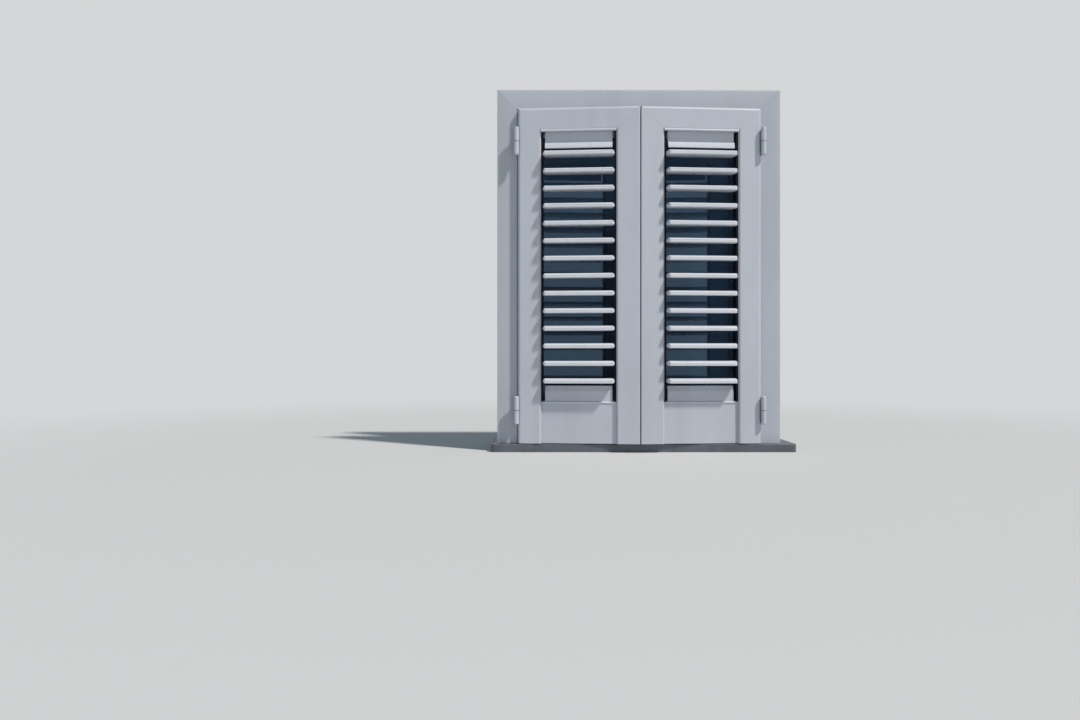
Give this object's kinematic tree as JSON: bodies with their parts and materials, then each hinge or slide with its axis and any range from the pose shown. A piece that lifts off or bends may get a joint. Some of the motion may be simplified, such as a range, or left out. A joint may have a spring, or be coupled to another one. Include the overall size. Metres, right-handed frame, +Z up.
{
  "type": "window with louvred shutters",
  "caption": "Casement window behind two louvred shutter leaves in a mitred frame on a stone sill; leaves and sashes swing, blades tilt together, bolts slide.",
  "frame": {"origin": "underside of the sill, at the frame's middle, in the plane of the wall face", "axes": "+X right along the wall seen from outside, +Y into the wall, +Z up"},
  "size_m": [1.156, 0.3964, 1.38],
  "materials": {
    "shutter_white": "satin white powder coat",
    "window_white": "smooth white profile",
    "track_black": "matt black moulding",
    "bare_steel": "zinc-plated steel",
    "seal": "black rubber",
    "glass": "clear sealed glazing",
    "handle": "satin silver",
    "stone": "honed dark stone"
  },
  "bodies": {
    "frame": {"sill": "stone", "frame_head": "shutter_white", "frame_jamb_left": "shutter_white", "frame_jamb_right": "shutter_white", "frame_seals": "seal", "fixed_hinge_halves": "shutter_white", "window_frame": "window_white"},
    "left_leaf": {"left_outer_stile": "shutter_white", "left_meeting_stile": "shutter_white", "left_top_rail": "shutter_white", "left_bottom_rail": "shutter_white", "left_fillers": "shutter_white", "left_blade_tracks": "track_black", "left_hinge_halves": "shutter_white", "left_bolt_case": "track_black"},
    "left_sash": {"left_sash_frame": "window_white", "left_glass": "glass"},
    "left_bolt_bar": {"left_bolt": "bare_steel"},
    "left_blade_07_body": {"left_blade_07": "shutter_white"},
    "left_blade_01_body": {"left_blade_01": "shutter_white"},
    "left_blade_02_body": {"left_blade_02": "shutter_white"},
    "left_blade_03_body": {"left_blade_03": "shutter_white"},
    "left_blade_04_body": {"left_blade_04": "shutter_white"},
    "left_blade_05_body": {"left_blade_05": "shutter_white"},
    "left_blade_06_body": {"left_blade_06": "shutter_white"},
    "left_blade_08_body": {"left_blade_08": "shutter_white"},
    "left_blade_09_body": {"left_blade_09": "shutter_white"},
    "left_blade_10_body": {"left_blade_10": "shutter_white"},
    "left_blade_11_body": {"left_blade_11": "shutter_white"},
    "left_blade_12_body": {"left_blade_12": "shutter_white"},
    "left_blade_13_body": {"left_blade_13": "shutter_white"},
    "left_blade_14_body": {"left_blade_14": "shutter_white"},
    "left_link": {"left_link_bar": "bare_steel"},
    "right_leaf": {"right_outer_stile": "shutter_white", "right_meeting_stile": "shutter_white", "right_top_rail": "shutter_white", "right_bottom_rail": "shutter_white", "right_fillers": "shutter_white", "right_blade_tracks": "track_black", "right_hinge_halves": "shutter_white", "right_bolt_case": "track_black"},
    "right_sash": {"right_sash_frame": "window_white", "right_glass": "glass"},
    "right_bolt_bar": {"right_bolt": "bare_steel"},
    "right_blade_07_body": {"right_blade_07": "shutter_white"},
    "right_blade_01_body": {"right_blade_01": "shutter_white"},
    "right_blade_02_body": {"right_blade_02": "shutter_white"},
    "right_blade_03_body": {"right_blade_03": "shutter_white"},
    "right_blade_04_body": {"right_blade_04": "shutter_white"},
    "right_blade_05_body": {"right_blade_05": "shutter_white"},
    "right_blade_06_body": {"right_blade_06": "shutter_white"},
    "right_blade_08_body": {"right_blade_08": "shutter_white"},
    "right_blade_09_body": {"right_blade_09": "shutter_white"},
    "right_blade_10_body": {"right_blade_10": "shutter_white"},
    "right_blade_11_body": {"right_blade_11": "shutter_white"},
    "right_blade_12_body": {"right_blade_12": "shutter_white"},
    "right_blade_13_body": {"right_blade_13": "shutter_white"},
    "right_blade_14_body": {"right_blade_14": "shutter_white"},
    "right_link": {"right_link_bar": "bare_steel"},
    "handle": {"window_handle": "handle"}
  },
  "joints": [
    {"name": "left_leaf_hinge", "type": "hinge", "parent": "frame", "child": "left_leaf", "pos_m": [-0.466, -0.047, 0.67], "axis": [0, 0, -1], "range_deg": [-4, 172]},
    {"name": "left_blade_07_pivot", "type": "hinge", "parent": "left_leaf", "child": "left_blade_07_body", "pos_m": [-0.23092, -0.03978, 0.73045], "axis": [0.9976, -0.0698, 0], "range_deg": [0, 75]},
    {"name": "left_blade_01_pivot", "type": "hinge", "parent": "left_leaf", "child": "left_blade_01_body", "pos_m": [-0.23092, -0.03978, 1.1252], "axis": [0.9976, -0.0698, 0], "range_deg": [0, 75]},
    {"name": "left_blade_02_pivot", "type": "hinge", "parent": "left_leaf", "child": "left_blade_02_body", "pos_m": [-0.23092, -0.03978, 1.05941], "axis": [0.9976, -0.0698, 0], "range_deg": [0, 75]},
    {"name": "left_blade_03_pivot", "type": "hinge", "parent": "left_leaf", "child": "left_blade_03_body", "pos_m": [-0.23092, -0.03978, 0.99362], "axis": [0.9976, -0.0698, 0], "range_deg": [0, 75]},
    {"name": "left_blade_04_pivot", "type": "hinge", "parent": "left_leaf", "child": "left_blade_04_body", "pos_m": [-0.23092, -0.03978, 0.92782], "axis": [0.9976, -0.0698, 0], "range_deg": [0, 75]},
    {"name": "left_blade_05_pivot", "type": "hinge", "parent": "left_leaf", "child": "left_blade_05_body", "pos_m": [-0.23092, -0.03978, 0.86203], "axis": [0.9976, -0.0698, 0], "range_deg": [0, 75]},
    {"name": "left_blade_06_pivot", "type": "hinge", "parent": "left_leaf", "child": "left_blade_06_body", "pos_m": [-0.23092, -0.03978, 0.79624], "axis": [0.9976, -0.0698, 0], "range_deg": [0, 75]},
    {"name": "left_blade_08_pivot", "type": "hinge", "parent": "left_leaf", "child": "left_blade_08_body", "pos_m": [-0.23092, -0.03978, 0.66465], "axis": [0.9976, -0.0698, 0], "range_deg": [0, 75]},
    {"name": "left_blade_09_pivot", "type": "hinge", "parent": "left_leaf", "child": "left_blade_09_body", "pos_m": [-0.23092, -0.03978, 0.59886], "axis": [0.9976, -0.0698, 0], "range_deg": [0, 75]},
    {"name": "left_blade_10_pivot", "type": "hinge", "parent": "left_leaf", "child": "left_blade_10_body", "pos_m": [-0.23092, -0.03978, 0.53307], "axis": [0.9976, -0.0698, 0], "range_deg": [0, 75]},
    {"name": "left_blade_11_pivot", "type": "hinge", "parent": "left_leaf", "child": "left_blade_11_body", "pos_m": [-0.23092, -0.03978, 0.46728], "axis": [0.9976, -0.0698, 0], "range_deg": [0, 75]},
    {"name": "left_blade_12_pivot", "type": "hinge", "parent": "left_leaf", "child": "left_blade_12_body", "pos_m": [-0.23092, -0.03978, 0.40148], "axis": [0.9976, -0.0698, 0], "range_deg": [0, 75]},
    {"name": "left_blade_13_pivot", "type": "hinge", "parent": "left_leaf", "child": "left_blade_13_body", "pos_m": [-0.23092, -0.03978, 0.33569], "axis": [0.9976, -0.0698, 0], "range_deg": [0, 75]},
    {"name": "left_blade_14_pivot", "type": "hinge", "parent": "left_leaf", "child": "left_blade_14_body", "pos_m": [-0.23092, -0.03978, 0.2699], "axis": [0.9976, -0.0698, 0], "range_deg": [0, 75]},
    {"name": "left_link_pivot", "type": "hinge", "parent": "left_blade_07_body", "child": "left_link", "pos_m": [-0.36836, -0.01614, 0.73045], "axis": [0.9976, -0.0698, 0], "range_deg": [-75, 0]},
    {"name": "left_bolt_slide", "type": "slide", "parent": "left_leaf", "child": "left_bolt_bar", "axis": [0, 0, 1], "range_m": [0, 0.015]},
    {"name": "left_sash_hinge", "type": "hinge", "parent": "frame", "child": "left_sash", "pos_m": [-0.48, 0.266, 0.683], "axis": [0, 0, 1], "range_deg": [0, 90]},
    {"name": "right_leaf_hinge", "type": "hinge", "parent": "frame", "child": "right_leaf", "pos_m": [0.466, -0.047, 0.67], "axis": [0, 0, 1], "range_deg": [-4, 172]},
    {"name": "right_blade_07_pivot", "type": "hinge", "parent": "right_leaf", "child": "right_blade_07_body", "pos_m": [0.23092, -0.03978, 0.73045], "axis": [0.9976, 0.0698, 0], "range_deg": [0, 75]},
    {"name": "right_blade_01_pivot", "type": "hinge", "parent": "right_leaf", "child": "right_blade_01_body", "pos_m": [0.23092, -0.03978, 1.1252], "axis": [0.9976, 0.0698, 0], "range_deg": [0, 75]},
    {"name": "right_blade_02_pivot", "type": "hinge", "parent": "right_leaf", "child": "right_blade_02_body", "pos_m": [0.23092, -0.03978, 1.05941], "axis": [0.9976, 0.0698, 0], "range_deg": [0, 75]},
    {"name": "right_blade_03_pivot", "type": "hinge", "parent": "right_leaf", "child": "right_blade_03_body", "pos_m": [0.23092, -0.03978, 0.99362], "axis": [0.9976, 0.0698, 0], "range_deg": [0, 75]},
    {"name": "right_blade_04_pivot", "type": "hinge", "parent": "right_leaf", "child": "right_blade_04_body", "pos_m": [0.23092, -0.03978, 0.92782], "axis": [0.9976, 0.0698, 0], "range_deg": [0, 75]},
    {"name": "right_blade_05_pivot", "type": "hinge", "parent": "right_leaf", "child": "right_blade_05_body", "pos_m": [0.23092, -0.03978, 0.86203], "axis": [0.9976, 0.0698, 0], "range_deg": [0, 75]},
    {"name": "right_blade_06_pivot", "type": "hinge", "parent": "right_leaf", "child": "right_blade_06_body", "pos_m": [0.23092, -0.03978, 0.79624], "axis": [0.9976, 0.0698, 0], "range_deg": [0, 75]},
    {"name": "right_blade_08_pivot", "type": "hinge", "parent": "right_leaf", "child": "right_blade_08_body", "pos_m": [0.23092, -0.03978, 0.66465], "axis": [0.9976, 0.0698, 0], "range_deg": [0, 75]},
    {"name": "right_blade_09_pivot", "type": "hinge", "parent": "right_leaf", "child": "right_blade_09_body", "pos_m": [0.23092, -0.03978, 0.59886], "axis": [0.9976, 0.0698, 0], "range_deg": [0, 75]},
    {"name": "right_blade_10_pivot", "type": "hinge", "parent": "right_leaf", "child": "right_blade_10_body", "pos_m": [0.23092, -0.03978, 0.53307], "axis": [0.9976, 0.0698, 0], "range_deg": [0, 75]},
    {"name": "right_blade_11_pivot", "type": "hinge", "parent": "right_leaf", "child": "right_blade_11_body", "pos_m": [0.23092, -0.03978, 0.46728], "axis": [0.9976, 0.0698, 0], "range_deg": [0, 75]},
    {"name": "right_blade_12_pivot", "type": "hinge", "parent": "right_leaf", "child": "right_blade_12_body", "pos_m": [0.23092, -0.03978, 0.40148], "axis": [0.9976, 0.0698, 0], "range_deg": [0, 75]},
    {"name": "right_blade_13_pivot", "type": "hinge", "parent": "right_leaf", "child": "right_blade_13_body", "pos_m": [0.23092, -0.03978, 0.33569], "axis": [0.9976, 0.0698, 0], "range_deg": [0, 75]},
    {"name": "right_blade_14_pivot", "type": "hinge", "parent": "right_leaf", "child": "right_blade_14_body", "pos_m": [0.23092, -0.03978, 0.2699], "axis": [0.9976, 0.0698, 0], "range_deg": [0, 75]},
    {"name": "right_link_pivot", "type": "hinge", "parent": "right_blade_07_body", "child": "right_link", "pos_m": [0.36836, -0.01614, 0.73045], "axis": [0.9976, 0.0698, 0], "range_deg": [-75, 0]},
    {"name": "right_bolt_slide", "type": "slide", "parent": "right_leaf", "child": "right_bolt_bar", "axis": [0, 0, 1], "range_m": [0, 0.015]},
    {"name": "right_sash_hinge", "type": "hinge", "parent": "frame", "child": "right_sash", "pos_m": [0.48, 0.266, 0.683], "axis": [0, 0, -1], "range_deg": [0, 90]},
    {"name": "window_handle_turn", "type": "hinge", "parent": "right_sash", "child": "handle", "pos_m": [0.029, 0.268, 0.68], "axis": [0, -1, 0], "range_deg": [0, 90]}
  ],
  "couplings": [
    {"joint": "left_blade_01_pivot", "follows": "left_blade_07_pivot", "ratio": 1},
    {"joint": "left_blade_02_pivot", "follows": "left_blade_07_pivot", "ratio": 1},
    {"joint": "left_blade_03_pivot", "follows": "left_blade_07_pivot", "ratio": 1},
    {"joint": "left_blade_04_pivot", "follows": "left_blade_07_pivot", "ratio": 1},
    {"joint": "left_blade_05_pivot", "follows": "left_blade_07_pivot", "ratio": 1},
    {"joint": "left_blade_06_pivot", "follows": "left_blade_07_pivot", "ratio": 1},
    {"joint": "left_blade_08_pivot", "follows": "left_blade_07_pivot", "ratio": 1},
    {"joint": "left_blade_09_pivot", "follows": "left_blade_07_pivot", "ratio": 1},
    {"joint": "left_blade_10_pivot", "follows": "left_blade_07_pivot", "ratio": 1},
    {"joint": "left_blade_11_pivot", "follows": "left_blade_07_pivot", "ratio": 1},
    {"joint": "left_blade_12_pivot", "follows": "left_blade_07_pivot", "ratio": 1},
    {"joint": "left_blade_13_pivot", "follows": "left_blade_07_pivot", "ratio": 1},
    {"joint": "left_blade_14_pivot", "follows": "left_blade_07_pivot", "ratio": 1},
    {"joint": "left_link_pivot", "follows": "left_blade_07_pivot", "ratio": -1},
    {"joint": "right_blade_01_pivot", "follows": "right_blade_07_pivot", "ratio": 1},
    {"joint": "right_blade_02_pivot", "follows": "right_blade_07_pivot", "ratio": 1},
    {"joint": "right_blade_03_pivot", "follows": "right_blade_07_pivot", "ratio": 1},
    {"joint": "right_blade_04_pivot", "follows": "right_blade_07_pivot", "ratio": 1},
    {"joint": "right_blade_05_pivot", "follows": "right_blade_07_pivot", "ratio": 1},
    {"joint": "right_blade_06_pivot", "follows": "right_blade_07_pivot", "ratio": 1},
    {"joint": "right_blade_08_pivot", "follows": "right_blade_07_pivot", "ratio": 1},
    {"joint": "right_blade_09_pivot", "follows": "right_blade_07_pivot", "ratio": 1},
    {"joint": "right_blade_10_pivot", "follows": "right_blade_07_pivot", "ratio": 1},
    {"joint": "right_blade_11_pivot", "follows": "right_blade_07_pivot", "ratio": 1},
    {"joint": "right_blade_12_pivot", "follows": "right_blade_07_pivot", "ratio": 1},
    {"joint": "right_blade_13_pivot", "follows": "right_blade_07_pivot", "ratio": 1},
    {"joint": "right_blade_14_pivot", "follows": "right_blade_07_pivot", "ratio": 1},
    {"joint": "right_link_pivot", "follows": "right_blade_07_pivot", "ratio": -1}
  ]
}
